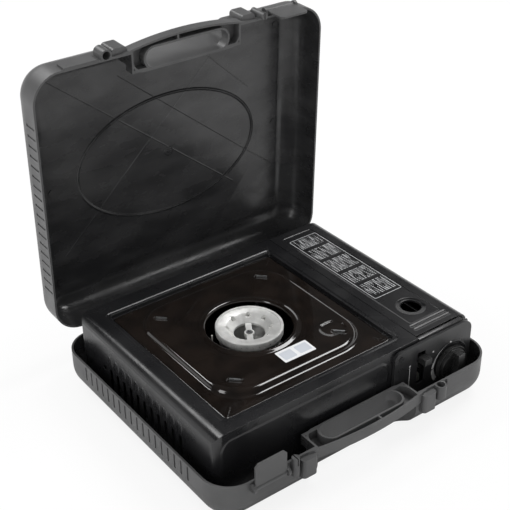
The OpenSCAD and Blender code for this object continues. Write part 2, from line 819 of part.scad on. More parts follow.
module control_fascia() color(black_steel) {
    dial_r = 26;
    slot_h = lever_travel + 14;
    difference() {
        union() {
            translate([0, stove_y0 - gap, 0]) rotate([90, 0, 0]) linear_extrude(fascia_t) fascia_outline(0);
            // flange that covers the bulkhead's top edge
            box([seam_x + 1, fascia_y + 2, flange_z], [stove_x1 - top_r, stove_y0 + 4, deck_z - 4]);
            box([seam_x + 1, stove_y0 - gap, deck_z - 4.5], [stove_x1 - top_r, stove_y0 + 4, deck_z - 1.4]);
        }
        translate([0, stove_y0 - gap + 1, 0]) rotate([90, 0, 0])
            linear_extrude(fascia_t - 0.6) fascia_outline(2);
        translate([lever_x - 5.5, fascia_y - 1, lever_up_z + 7 - slot_h]) cube([11, 5, slot_h]);
        translate([knob_x, 0, knob_z]) rod_y(stem_r + 1.2, fascia_y - 1, stove_y0 + 1);
        for (p = fascia_screw_at)
            translate([p[0], 0, p[1]]) rod_y(screw_r + 0.05, fascia_y - 1, stove_y0 + 1);
    }
    // raised ring round the knob
    translate([knob_x, 0, knob_z]) difference() {
        rod_y(dial_r, fascia_y - 0.6, fascia_y + 0.5);
        rod_y(dial_r - 1.2, fascia_y - 1, fascia_y + 1);
    }
}

module fascia_screws() color(raw_steel)
    for (p = fascia_screw_at) translate([p[0], 0, p[1]]) {
        rod_y(2*screw_r, fascia_y - 0.6, fascia_y);
        rod_y(screw_r, fascia_y - 0.1, bulk_back + 2);
    }

module knob() color(plastic)
    translate([knob_x, 0, knob_z]) {
        y1 = fascia_y - 1;
        y0 = y1 - knob_d;
        difference() {
            union() {
                rod_y(knob_r, y1 - 5, y1);
                rod_y(knob_r - 3, y1 - 8, y1 - 4);
                // grip blade
                translate([-4.5, y0, -knob_r + 2.5]) cube([9, knob_d, 2*knob_r - 5]);
            }
            rod_y(stem_r + 0.02, y0 + 2.4, y1 + 1);
        }
    }

module valve_stem() color(brass)
    translate([knob_x, 0, knob_z]) rod_y(stem_r, stem_end_y, reg_y0 + 11);

// ---- regulator ----

module regulator_body() color(cast_metal)
    difference() {
        union() {
            translate([cartridge_x, 0, cartridge_z]) rod_y(reg_r, reg_y0, reg_y0 + reg_len);
            translate([cartridge_x, 0, cartridge_z]) rod_y(socket_r + 5, reg_y0 + reg_len - 1, inlet_y);
            // flat seat of the diaphragm cover
            translate([cartridge_x, reg_y0 + reg_len/2, cartridge_z]) rod_x(cover_r, 0, reg_r);
            // stem housing and mounting bosses that stand on the bulkhead
            translate([knob_x, 0, knob_z]) rod_y(7, bulk_back, reg_y0 + reg_len);
            for (p = [[-15, 14], [15, 14], [-15, -14]])
                translate([cartridge_x + p[0], 0, cartridge_z + p[1]])
                    rod_y(4, bulk_back, reg_y0 + 12);
            // outlet arm to the jet
            box([jet_x - 4, jet_y - 5, mixer_z - 6], [cartridge_x - socket_r - 2, jet_y + 5, mixer_z + 6]);
        }
        // socket for the cartridge's valve, and the seal's seat behind it
        translate([cartridge_x, 0, cartridge_z]) rod_y(socket_r, inlet_y - socket_len, inlet_y + 1);
        translate([cartridge_x, 0, cartridge_z]) rod_y(seal_r, inlet_y - socket_len - seal_len, inlet_y);
        translate([cartridge_x, 0, cartridge_z]) rod_y(2, reg_y0 + 10, inlet_y);
        translate([knob_x, 0, knob_z]) rod_y(stem_r + run_fit, bulk_y0, reg_y0 + 12);
        translate([jet_x, jet_y, mixer_z]) rotate([0, 0, mixer_angle]) rod_x(jet_r + 0.02, 0, 20);
    }

module diaphragm_cover() color(raw_steel)
    translate([cartridge_x + reg_r, reg_y0 + reg_len/2, cartridge_z]) rod_x(cover_r, 0, cover_h);

module cover_screws() color(raw_steel)
    translate([cartridge_x + reg_r + cover_h, reg_y0 + reg_len/2, cartridge_z])
        for (a = [0:120:240]) rotate([a, 0, 0]) translate([0, 5.4, 0]) rod_x(1.4, 0, 1.1);

module inlet_seal() color(rubber)
    translate([cartridge_x, 0, cartridge_z]) difference() {
        rod_y(seal_r, inlet_y - socket_len - seal_len, inlet_y - socket_len);
        rod_y(seal_r - 2, inlet_y - socket_len - seal_len - 1, inlet_y);
    }

module gas_jet() color(brass)
    translate([jet_x, jet_y, mixer_z]) rotate([0, 0, mixer_angle]) {
        rod_x(jet_r, 0, jet_len);
        rod_x(2, jet_len, jet_len + nozzle_len);
    }

// ---- lock ----

module lock_lever() color(plastic) {
    z = lever_up_z;
    difference() {
        union() {
            // finger tab outside the control panel
            box([lever_x - 5, fascia_y - 11, z - 4], [lever_x + 5, fascia_y - 0.6, z + 3]);
            box([plate_x0 - 1, fascia_y - 2, z - 3], [lever_x + 3, bulk_back + 3, z + 2]);
            box([plate_x0, bulk_back + 1, link_z - 5],
                [plate_x0 + plate_t, link_y + 4, link_z + slot_rise + 6]);
        }
        // slanted slot
        translate([plate_x0 - 1, link_y - slot_run/2, link_z + slot_rise/2]) rotate([90, 0, 90])
            linear_extrude(plate_t + 2) rotate(atan2(slot_rise, -slot_run))
                stadium(norm([slot_rise, slot_run]) + 2*(link_pin_r + 0.35), 2*(link_pin_r + 0.35));
    }
}

module link_bar() color(raw_steel) {
    box([link_x0, link_y - 4, link_z - link_half], [link_x0 + link_t, link_rear, link_z + link_half]);
    translate([0, link_y, link_z]) rod_x(link_pin_r, link_x0 + link_t - 0.1, plate_x0 + plate_t + 0.4);
    // foot that turns in behind the cartridge
    box([link_x0, link_rear - link_t, cartridge_z - 14], [cartridge_x + 16, link_rear, cartridge_z + 6]);
}

module pusher_plate() color(black_steel)
    translate([cartridge_x, 0, cartridge_z]) {
        back = link_rear - link_t - spring_len;
        rod_y(20, back - pusher_t, back);
        rod_y(3, back - pusher_t, link_rear - link_t);
    }

// Round wire swept along a helix; returns points ring by ring
ring_sides = 6;
spring_rise = spring_len - 2*wire_r - 0.1;
function helix_at(t) = [spring_r*cos(360*t), spring_rise*t/spring_turns, spring_r*sin(360*t)];
spring_rings = round(spring_turns*8);
function spring_ring(i) = let (
    t = i/8, a = 360*t, c = helix_at(t), out = [cos(a), 0, sin(a)]
) [for (k = [0:ring_sides - 1])
    c + wire_r*(cos(360*k/ring_sides)*out + sin(360*k/ring_sides)*[0, 1, 0])];
// least gap between turns: wire points a half turn or more apart along the helix
spring_gap = min([for (i = [0:spring_rings - 5], j = [i + 5:spring_rings])
    min([for (p = spring_ring(i), q = spring_ring(j)) norm(p - q)])]);
echo("least gap of the spring to itself", spring_gap);

module tube(rings, sides) {
    n = len(rings);
    points = [for (r = rings, p = r) p];
    sides_faces = [for (i = [0:n - 2], k = [0:sides - 1]) each let (
        a = i*sides + k, b = i*sides + (k + 1)%sides, c = a + sides, d = b + sides
    ) [[a, b, d], [a, d, c]]];
    caps = concat(
        [for (k = [1:sides - 2]) [0, k + 1, k]],
        [for (k = [1:sides - 2]) [(n - 1)*sides, (n - 1)*sides + k, (n - 1)*sides + k + 1]]
    );
    polyhedron(points = points, faces = concat(sides_faces, caps));
}

module pusher_spring() color(raw_steel)
    translate([cartridge_x, link_rear - link_t - spring_len + wire_r + 0.05, cartridge_z])
        tube([for (i = [0:spring_rings]) spring_ring(i)], ring_sides);

module cartridge_cradle() color(raw_steel)
    for (y = [stove_cy - 55.6, stove_cy + 54.4]) translate([0, y, 0]) difference() {
        box([cartridge_x - 26, 0, pan_z + sheet], [cartridge_x + 26, 10, cartridge_z - 24]);
        translate([cartridge_x, 0, cartridge_z]) rod_y(cartridge_r + gap, -1, 11);
    }

// ---- ignition ----

igniter_x = cartridge_x - 18;
igniter_z = pan_z + 9;
igniter_end = bulk_back + 25;
tip_angle = 160;
tip_r = burner_r + 4.6;
tip_x = tray_x + tip_r*cos(tip_angle);
tip_y = tray_y + tip_r*sin(tip_angle);

module piezo_igniter() color([0.75, 0.72, 0.65])
    translate([igniter_x, 0, igniter_z]) {
        rod_y(5, bulk_back, bulk_back + 19);
        rod_y(3, bulk_back + 18, igniter_end);
    }

module electrode() color([0.9, 0.9, 0.86])
    translate([tip_x, tip_y, 0]) {
        translate([0, 0, 52]) cylinder(r = 3, h = 20);
        translate([0, 0, 71]) cylinder(r = 0.9, h = head_z - 5 - 71);
    }

// The spark lead runs along the floor of the body, from the igniter to the electrode
lead_r = 1.25;
shield_x = tray_x - (tray_w - 61)/2;
lead_points = [
    [igniter_x, igniter_end, igniter_z], [igniter_x, igniter_end + 6.3, igniter_z],
    [igniter_x - 2, lead_gate_y - 8, 15.5], [igniter_x - 7.9, lead_gate_y - 2, 12.4],
    [bay_x0 + 9.2, lead_gate_y, 11.4], [bay_x0 + 1.2, lead_gate_y, 11.2],
    [bay_x0 - 10.8, lead_gate_y, 11.2], [tray_x + 93, lead_gate_y - 2, 11.2],
    [tray_x + 63, lead_gate_y - 4, 11.2], [tray_x + 33, lead_gate_y - 6, 11.2],
    [tray_x + 3, lead_gate_y - 8, 11.2], [tray_x - 27, lead_gate_y - 8, 11.2],
    [shield_x + 24, lead_gate_y - 4, 11.2], [shield_x + 6, lead_gate_y + 6, 11.2],
    [shield_x - 6, tray_y - 57.3, 11.2], [shield_x - 10, tray_y - 37.3, 11.4],
    [shield_x - 8, tray_y - 14.3, 13.5], [shield_x - 1, tray_y + 1.7, 18],
    [tray_x - 66, tray_y + 9.7, 24], [tray_x - 57, tray_y + 12.7, 31], [tray_x - 49, tray_y + 13.7, 38],
    [tray_x - 43, tip_y, 43], [tip_x - 2, tip_y, 46.5], [tip_x, tip_y, 49.5], [tip_x, tip_y, 52]
];
function lead_dir(i) = let (
    a = lead_points[max(i - 1, 0)], b = lead_points[min(i + 1, len(lead_points) - 1)]
) (b - a)/norm(b - a);
function lead_side(i) = let (
    d = lead_dir(i), s = cross(d, abs(d[2]) > 0.8 ? [0.3, 1, 0] : [0, 0, 1])
) s/norm(s);
function lead_ring(i) = let (d = lead_dir(i), s = lead_side(i), u = cross(d, s))
    [for (k = [0:7]) lead_points[i] + lead_r*(cos(45*k)*s - sin(45*k)*u)];

module igniter_lead() color(rubber)
    tube([for (i = [0:len(lead_points) - 1]) lead_ring(i)], 8);

// ---- burner ----

module burner_body() color(cast_metal) {
    difference() {
        union() {
            translate([tray_x, tray_y, 0]) rotate_extrude()
                polygon([[0, 48], [14, 48], [26, 60], [33, 72], [33, head_z - 8.05], [0, head_z - 8.05]]);
            translate([jet_x, jet_y, mixer_z]) rotate([0, 0, mixer_angle])
                rod_x(mixer_r, mixer_start, mixer_len);
            // lug that carries the spark electrode
            translate([tray_x, tray_y, 63]) rotate([0, 0, tip_angle]) {
                translate([28, -3, 0]) cube([tip_r - 28, 6, 5]);
                translate([tip_r, 0, 0]) cylinder(r = 4.8, h = 5);
            }
        }
        translate([tip_x, tip_y, 50]) cylinder(r = 3.05, h = 25);
        translate([tray_x, tray_y, 0]) rotate_extrude()
            polygon([[0, 50.5], [13, 50.5], [23.5, 61], [30, 73], [30, head_z - 7], [0, head_z - 7]]);
        translate([jet_x, jet_y, mixer_z]) rotate([0, 0, mixer_angle])
            rod_x(mixer_r - 1.8, mixer_start - 1, mixer_len - 20);
    }
    // post for the head's screw
    difference() {
        translate([tray_x, tray_y, 50]) cylinder(r = 4.4, h = head_z - funnel_d - 4.65 - 50);
        translate([tray_x, tray_y, head_z - funnel_d - 11.2]) cylinder(r = 2, h = 10);
    }
}

module burner_head() color(cast_metal)
    translate([tray_x, tray_y, head_z]) {
        difference() {
            rotate_extrude() polygon([
                [16.9, -funnel_d], [24.3, -2], [25.5, -1.3], [burner_r - 3.6, -0.9], [burner_r - 3, 0],
                [burner_r - 0.6, 0], [burner_r, -0.6], [burner_r, -8], [burner_r - 5.4, -8],
                [burner_r - 5.4, -6.6], [burner_r - 2.2, -6.6], [burner_r - 2.2, -3.4], [28, -3.8],
                [20.5, -funnel_d - 2.6], [16.9, -funnel_d - 2.6]
            ]);
            // ports, each run out down the funnel
            for (i = [0:port_count - 1]) rotate([0, 0, i*360/port_count + 12]) {
                translate([24.6, 0, -12]) cylinder(r = 1.3, h = 20);
                translate([22.9, 0, -5.5]) cylinder(r = 2.7, h = 20);
            }
            for (i = [0:35]) rotate([0, 0, i*10]) translate([burner_r, 0, -5]) cube([8, 1.4, 1.8], center = true);
        }
        // bridge bar with the seat of its screw
        difference() {
            union() {
                rotate([0, 0, 58]) translate([-17.8, -3.3, -funnel_d - 2.6]) cube([35.6, 6.6, 2.4]);
                translate([0, 0, -funnel_d - 4.6]) cylinder(r = 5.4, h = 4.6);
            }
            translate([0, 0, -funnel_d - 1.2]) cylinder(r = 3.8, h = 4);
            translate([0, 0, -funnel_d - 9]) cylinder(r = 2.1, h = 10);
        }
    }

module burner_screw() color(raw_steel)
    translate([tray_x, tray_y, head_z - funnel_d - 1.2]) difference() {
        union() {
            cylinder(r = 3.4, h = 1.4);
            translate([0, 0, -9.4]) cylinder(r = 1.95, h = 10);
        }
        for (a = [0, 90]) rotate([0, 0, a]) translate([0, 0, 1.4]) cube([4.6, 0.9, 1.6], center = true);
    }

module burner_bracket() color(raw_steel)
    translate([tray_x, tray_y, 0]) {
        floor_z = pan_z + 2*sheet;
        difference() {
            for (s = [-1, 1]) {
                box([s*bracket_x - 8, -9, floor_z], [s*bracket_x + 8, 9, floor_z + 1.2]);
                box([s*30 - 0.6, -9, floor_z], [s*30 + 0.6, 9, 47.8]);
            }
            for (s = [-1, 1]) translate([s*bracket_x, 0, 0]) cylinder(r = screw_r + 0.05, h = 30);
        }
        box([-30.6, -9, 46.8], [30.6, 9, 48]);
    }

// ---- drip tray, stowed upside down, with its pan supports hanging inside ----

support_spots = [45, 135, 225, 315];

module drip_tray() color(enamel) {
    h = plateau_z - tray_z;
    t = sheet;
    difference() {
        translate([tray_x, tray_y, tray_z]) {
            difference() {
                linear_extrude(t) round_rect(tray_w, tray_w, 5);
                translate([0, 0, -1]) linear_extrude(3)
                    round_rect(plateau_w - 2*t, plateau_w - 2*t, plateau_r - t);
            }
            translate([0, 0, h]) mirror([0, 0, 1]) difference() {
                dish(plateau_w, plateau_w, h, plateau_r, plateau_edge);
                translate([0, 0, t])
                    dish(plateau_w - 2*t, plateau_w - 2*t, h, plateau_r - t, plateau_edge - t);
            }
        }
        translate([tray_x, tray_y, tray_z]) cylinder(r = tray_hole_r, h = h + 2);
        for (a = support_spots) translate([tray_x, tray_y, 0]) rotate([0, 0, a])
            translate([support_r, 0, plateau_z]) rotate([0, 0, -45 - a])
                cube([12.6, support_t + 0.6, 4], center = true);
    }
    translate([tray_x, tray_y, plateau_z - 0.6]) rotate_extrude()
        translate([tray_hole_r + 2.4, 0]) circle(bead_r);
}

// Steel prong under the tray, with its tab through the tray
module pan_support(a) {
    top = plateau_z - sheet;
    translate([tray_x, tray_y, 0]) rotate([0, 0, a]) {
        translate([0, support_t/2, 0]) rotate([90, 0, 0]) linear_extrude(support_t) polygon([
            [52, top - 0.02], [support_r + 7, top - 0.02], [support_r + 7, top - 8],
            [support_r, top - support_h], [56, top - support_h], [52, top - support_h + 6]
        ]);
        translate([support_r, 0, top + 1.1]) rotate([0, 0, -45 - a])
            cube([12, support_t, 2.8], center = true);
        translate([support_r, 0, top - 1.02]) rotate([0, 0, -45 - a]) cube([12, support_t, 2], center = true);
    }
}

module pan_support_back() color(raw_steel) pan_support(support_spots[0]);
module pan_support_left() color(raw_steel) pan_support(support_spots[1]);
module pan_support_front() color(raw_steel) pan_support(support_spots[2]);
module pan_support_right() color(raw_steel) pan_support(support_spots[3]);

case_base();
case_lid();
case_hinge_pins();
latch_left();
latch_right();
body_shell();
base_pan();
rear_panel();
control_bulkhead();
partition();
heat_shield();
cartridge_lid();
lid_pivot_pins();
control_fascia();
knob();
valve_stem();
regulator_body();
diaphragm_cover();
inlet_seal();
gas_jet();
lock_lever();
link_bar();
pusher_plate();
pusher_spring();
cartridge_cradle();
piezo_igniter();
igniter_lead();
electrode();
burner_body();
burner_head();
burner_screw();
burner_bracket();
drip_tray();
pan_support_back();
pan_support_left();
pan_support_front();
pan_support_right();
rubber_feet();
base_screws();
fascia_screws();
cover_screws();
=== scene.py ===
import math

import bmesh
import bpy
from mathutils import Matrix, Vector


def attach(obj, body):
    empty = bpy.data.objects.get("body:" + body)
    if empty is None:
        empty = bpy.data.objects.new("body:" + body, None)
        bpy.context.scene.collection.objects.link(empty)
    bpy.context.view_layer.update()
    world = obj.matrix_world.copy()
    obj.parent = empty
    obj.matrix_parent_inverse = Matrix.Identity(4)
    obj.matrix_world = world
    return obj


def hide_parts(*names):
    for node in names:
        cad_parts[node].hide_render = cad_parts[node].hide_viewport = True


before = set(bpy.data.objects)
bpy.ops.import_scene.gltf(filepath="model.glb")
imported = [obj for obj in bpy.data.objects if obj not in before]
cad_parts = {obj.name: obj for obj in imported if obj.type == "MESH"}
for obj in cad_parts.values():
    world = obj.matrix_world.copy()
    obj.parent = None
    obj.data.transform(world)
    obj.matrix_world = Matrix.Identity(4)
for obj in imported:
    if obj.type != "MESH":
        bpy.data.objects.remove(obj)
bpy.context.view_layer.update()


# ---- Case halves ----
# The base and the lid are one polypropylene moulding used twice, with a fine spark-eroded
# grain. The lid is turned over onto the base and joined to it by two pins at the back.

MM = 0.001  # the sizes below are in millimetres unless a comment says metres


def softened(node, name, body, material, width, angle=32, inner=None, clamp=True):
    """A copy of a CAD piece whose sharp edges are broken as a tool or a press leaves them.
    inner holds a test for a face's middle and the material of the faces that pass it. With
    clamp off, edges beside a short edge keep the full width too."""
    bm = bmesh.new()
    bm.from_mesh(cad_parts[node].data)
    bmesh.ops.remove_doubles(bm, verts=bm.verts, dist=2e-6)
    bmesh.ops.dissolve_limit(
        bm, angle_limit=math.radians(0.4), use_dissolve_boundaries=False,
        verts=bm.verts, edges=bm.edges, delimit=set())
    piece = as_object(bm, name)
    piece.data.shade_smooth()
    piece.data.set_sharp_from_angle(angle=math.radians(angle))
    edges = piece.modifiers.new("broken_edges", "BEVEL")
    edges.width = width*MM
    edges.segments = 2
    edges.limit_method = "ANGLE"
    edges.angle_limit = math.radians(angle)
    edges.use_clamp_overlap = clamp
    edges.harden_normals = True
    dress(piece, body, material)
    if inner is not None:
        passes, second = inner
        piece.data.materials.append(second)
        for face in piece.data.polygons:
            if passes(face.center/MM):
                face.material_index = 1
    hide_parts(node)


def as_object(bm, name):
    mesh = bpy.data.meshes.new(name)
    bm.to_mesh(mesh)
    bm.free()
    piece = bpy.data.objects.new(name, mesh)
    bpy.context.scene.collection.objects.link(piece)
    return piece


def dress(piece, body, material):
    piece.data.materials.clear()
    piece.data.materials.append(material)
    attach(piece, body)


class Finish:
    """A material's node tree, with short calls for the nodes that the finishes share."""

    def __init__(self, name, colour, rough, metallic=0.0):
        self.material = bpy.data.materials.new(name)
        self.material.use_nodes = True
        self.tree = self.material.node_tree
        self.shader = self.tree.nodes["Principled BSDF"]
        self.shader.inputs["Base Color"].default_value = (*colour, 1)
        self.shader.inputs["Roughness"].default_value = rough
        self.shader.inputs["Metallic"].default_value = metallic
        self.place = self.tree.nodes.new("ShaderNodeTexCoord").outputs["Object"]
        self.height = None

    def node(self, kind, **values):
        made = self.tree.nodes.new(kind)
        for key, value in values.items():
            setattr(made, key, value)
        return made

    def wire(self, start, end):
        if isinstance(start, (int, float)):
            end.default_value = start
        else:
            self.tree.links.new(start, end)

    def maths(self, operation, a, b=0.0, c=None):
        made = self.node("ShaderNodeMath", operation=operation)
        self.wire(a, made.inputs[0])
        self.wire(b, made.inputs[1])
        if c is not None:
            self.wire(c, made.inputs[2])
        return made.outputs[0]

    def product(self, first, *others):
        for other in others:
            first = self.maths("MULTIPLY", first, other)
        return first

    def length(self, u, v):
        squares = self.maths("POWER", u, 2.0), self.maths("POWER", v, 2.0)
        return self.maths("SQRT", self.maths("ADD", *squares))

    def noise(self, size, detail=3.0, stretch=(1, 1, 1), rough=0.5):
        """Noise whose grains are about size millimetres across."""
        spread = self.node("ShaderNodeMapping")
        spread.inputs["Scale"].default_value = stretch
        self.wire(self.place, spread.inputs["Vector"])
        made = self.node("ShaderNodeTexNoise")
        made.inputs["Scale"].default_value = 1000/size
        made.inputs["Detail"].default_value = detail
        made.inputs["Roughness"].default_value = rough
        self.wire(spread.outputs["Vector"], made.inputs["Vector"])
        return made.outputs["Fac"]

    def band(self, value, low, high, out_low=0.0, out_high=1.0, smooth=True):
        """Runs from out_low to out_high as value runs from low to high, and stays there."""
        kind = "SMOOTHSTEP" if smooth else "LINEAR"
        made = self.node("ShaderNodeMapRange", interpolation_type=kind)
        self.wire(value, made.inputs["Value"])
        limits = {"From Min": low, "From Max": high, "To Min": out_low, "To Max": out_high}
        for key, number in limits.items():
            made.inputs[key].default_value = number
        return made.outputs["Result"]

    def tone(self, factor, first, second):
        """The colour runs from first to second with the factor."""
        made = self.node("ShaderNodeMix", data_type="RGBA")
        self.wire(factor, made.inputs[0])
        made.inputs[6].default_value = (*first, 1)
        made.inputs[7].default_value = (*second, 1)
        self.wire(made.outputs[2], self.shader.inputs["Base Color"])

    def mottle(self, size, detail, first, second, low=0.35, high=0.65, stretch=(1, 1, 1)):
        """Clouds of two colours, about size millimetres across."""
        self.tone(self.band(self.noise(size, detail, stretch), low, high), first, second)

    def wear(self, size, detail, least, most, stretch=(1, 1, 1)):
        """Patches of roughness between least and most, about size millimetres across."""
        patches = self.band(self.noise(size, detail, stretch), 0.3, 0.7, least, most)
        self.wire(patches, self.shader.inputs["Roughness"])

    def relief(self, value, depth):
        """Adds a height in millimetres, times value, to the surface."""
        lift = self.maths("MULTIPLY", value, depth*MM)
        self.height = lift if self.height is None else self.maths("ADD", self.height, lift)

    def done(self):
        bump = self.node("ShaderNodeBump")
        bump.inputs["Distance"].default_value = 1.0
        bump.inputs["Strength"].default_value = 1.0
        self.wire(self.height, bump.inputs["Height"])
        self.wire(bump.outputs["Normal"], self.shader.inputs["Normal"])
        return self.material

    def axes(self):
        split = self.node("ShaderNodeSeparateXYZ")
        self.wire(self.place, split.inputs[0])
        return split.outputs

    def near_line(self, u, v, a, b, half):
        """1 on the line from a to b in the plane of u and v, 0 beyond half a width from it."""
        (ax, ay), (bx, by) = a, b
        reach = math.hypot(bx - ax, by - ay)
        tx, ty = (bx - ax)/reach, (by - ay)/reach
        along, across = (
            self.maths("ADD", self.maths("MULTIPLY", u, cx),
                       self.maths("MULTIPLY_ADD", v, cy, -(ax*cx + ay*cy)*MM))
            for cx, cy in ((tx, ty), (-ty, tx)))
        near = self.band(self.maths("ABSOLUTE", across), 0, half*MM, 1, 0)
        between = self.product(self.maths("GREATER_THAN", along, 0.0),
                               self.maths("LESS_THAN", along, reach*MM))
        return self.product(near, between)

    def plate_distance(self, u, v, centre, half, radius):
        """Distance in metres outside a rounded rectangle, negative inside it."""
        out = []
        for value, middle, reach in ((u, centre[0], half[0]), (v, centre[1], half[1])):
            off = self.maths("ABSOLUTE", self.maths("SUBTRACT", value, middle*MM))
            out.append(self.maths("SUBTRACT", off, (reach - radius)*MM))
        corner = self.length(*(self.maths("MAXIMUM", o, 0.0) for o in out))
        inner = self.maths("MINIMUM", self.maths("MAXIMUM", *out), 0.0)
        return self.maths("SUBTRACT", self.maths("ADD", corner, inner), radius*MM)


outside = Finish("grained_polypropylene", (0.075, 0.075, 0.076), 0.45)
outside.mottle(60, 4, (0.066, 0.066, 0.067), (0.085, 0.085, 0.086))
outside.wear(55, 5, 0.38, 0.52)
outside.relief(outside.noise(0.9, 2), 0.030)
outside.relief(outside.noise(22, 2), 0.06)
plastic = outside.done()

HINGE_Y, HINGE_Z, OPEN = 158.2, 48.0, math.radians(88)


def shut_place(p):
    """Where a point of the open lid lies when the lid is shut, turned onto the base."""
    y, z = p[1] - HINGE_Y, p[2] - HINGE_Z
    back = y*math.cos(OPEN) - z*math.sin(OPEN)
    high = y*math.sin(OPEN) + z*math.cos(OPEN)
    return (-p[0], back + HINGE_Y, HINGE_Z - high)


# the inner faces lie a touch inside these walls, floor, rim, corners and handle recess
WALL_X, WALL_Y, FLOOR_Z, RIM_Z = 178.9, 150.9, 2.1, 47.7
CORNER_X, CORNER_Y, CORNER_RADIUS = 149, 121, 29.95
RECESS_X, RECESS_Y = 66.3, -130.2
GRIP_X, GRIP_Y = 72, -127


def inside_shell(p):
    x, y, z = abs(p[0]), p[1], p[2]
    within = x < WALL_X and abs(y) < WALL_Y and z > FLOOR_Z
    in_recess = x < RECESS_X and y < RECESS_Y
    below_rim = z < RIM_Z or (x < GRIP_X and y < GRIP_Y)
    corner = math.hypot(max(x - CORNER_X, 0), max(abs(y) - CORNER_Y, 0))
    return within and not in_recess and below_rim and corner < CORNER_RADIUS


# the inner faces are smoother, with clouds where the plastic flowed, and their colour is painted
# shade: a darker copy of the same plastic as the outside
inside = Finish("polished_polypropylene_painted_shade", (0.030, 0.030, 0.031), 0.24)
px, py, pz = inside.axes()
ry = inside.maths("SUBTRACT", py, HINGE_Y*MM)
rz = inside.maths("SUBTRACT", pz, HINGE_Z*MM)
up_lid = inside.maths("SUBTRACT", inside.maths("MULTIPLY", rz, math.sin(OPEN)),
                      inside.maths("MULTIPLY", ry, math.cos(OPEN)))
on_lid = inside.maths("GREATER_THAN", pz, 60*MM)
# painted shade: these clouds run much darker than the outside of the same moulding
inside.mottle(60, 5, (0.022, 0.022, 0.023), (0.044, 0.044, 0.045), 0.35, 0.68, (1, 1, 2.5))
clouds = inside.noise(48, 6, (1, 1, 1.8), 0.6)
inside.wire(inside.band(clouds, 0.32, 0.66, 0.16, 0.34), inside.shader.inputs["Roughness"])
inside.relief(inside.noise(1.0, 2), 0.008)
inside.relief(inside.noise(46, 3), 0.32)
# the oval is a rolled ridge, 117.5 by 72.5 mm from its middle
OVAL_X, OVAL_Y = 117.5*MM, 72.5*MM
u = inside.maths("DIVIDE", px, OVAL_X)
v = inside.maths("DIVIDE", inside.maths("SUBTRACT", up_lid, HINGE_Y*MM), OVAL_Y)
rho = inside.length(u, v)
steep = inside.length(inside.maths("DIVIDE", u, OVAL_X), inside.maths("DIVIDE", v, OVAL_Y))
off = inside.maths("DIVIDE", inside.product(inside.maths("SUBTRACT", rho, 1.0), rho),
                   inside.maths("MAXIMUM", steep, 0.5))
ridge = inside.band(inside.maths("ABSOLUTE", off), 0, 2.2*MM, 1, 0)
inside.relief(inside.product(ridge, on_lid), 1.3)
# weld lines of the moulding, and the gate mark in its middle
for a, b in (((-165, 300), (90, 92)), ((-140, 70), (66, 268)), ((-60, 268), (150, 96)),
             ((24, 292), (112, 210)), ((66, 268), (120, 300))):
    weld = inside.near_line(px, up_lid, a, b, 1.1)
    inside.relief(inside.product(weld, on_lid), 0.22)
for radius, depth in ((5.5, 1.1), (2.2, 1.3)):
    spot = inside.plate_distance(px, up_lid, (0, 160), (radius, radius), radius)
    inside.relief(inside.product(inside.band(spot, -0.8*MM, 0.4*MM, 1, 0), on_lid), depth)
smooth_plastic_painted_shade = inside.done()

# the inner faces take the darker copy of the plastic, which is painted shade
softened("case_base", "case_base_moulding", "case", plastic, 0.45,
         inner=(inside_shell, smooth_plastic_painted_shade))
softened("case_lid", "case_lid_moulding", "lid", plastic, 0.45,
         inner=(lambda p: inside_shell(shut_place(p)), smooth_plastic_painted_shade))


# ---- Case latches and hinge pins ----
# Each flap is moulded in the same plastic and clips by two pegs into the ears of its half.
# The pins are zinc-plated wire with upset heads.

softened("latch_left", "latch_flap_left", "flap_left", plastic, 0.35)
softened("latch_right", "latch_flap_right", "flap_right", plastic, 0.35)

plated = Finish("zinc_plated_steel", (0.52, 0.53, 0.54), 0.34, 1.0)
plated.mottle(6, 3, (0.44, 0.45, 0.46), (0.58, 0.59, 0.60))
plated.wear(2.2, 4, 0.26, 0.46, (1, 6, 1))
plated.relief(plated.noise(0.8, 3, (1, 7, 1)), 0.012)
zinc = plated.done()


def refinish(material, *nodes):
    """The CAD piece is kept as it is, and takes the real finish."""
    for node in nodes:
        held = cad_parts[node]
        for slot in held.material_slots:
            slot.material = material


refinish(zinc, "case_hinge_pins")


# ---- Stove body ----
# Pressed steel sheet 0.8 mm thick, powder coated satin black inside and out: the shell that
# wraps deck and left side, the base, the rear panel and the bulkhead behind the controls.

coat = Finish("satin_black_powder_coat", (0.012, 0.012, 0.013), 0.30)
coat.mottle(70, 3, (0.010, 0.010, 0.011), (0.016, 0.016, 0.017))
coat.wear(40, 4, 0.22, 0.34)
coat.relief(coat.noise(1.4, 2), 0.010)
px, py, pz = coat.axes()
# pressed border of the front panel, and the foot of the wall round the deck's recess
front = coat.maths("LESS_THAN", py, -122.4*MM)
border = coat.plate_distance(px, pz, (-53, 38), (107, 42), 14)
coat.relief(coat.product(coat.band(border, -3.5*MM, 0.0, 1, 0), front), 1.1)
TRAY_X, TRAY_Y = -33.0, 2.3
deck = coat.maths("GREATER_THAN", pz, 87.8*MM)
rim = coat.plate_distance(px, py, (TRAY_X, TRAY_Y), (113.5, 113.5), 8)
coat.relief(coat.product(coat.band(rim, -3.0*MM, 0.0, 0, 1), deck), 0.9)
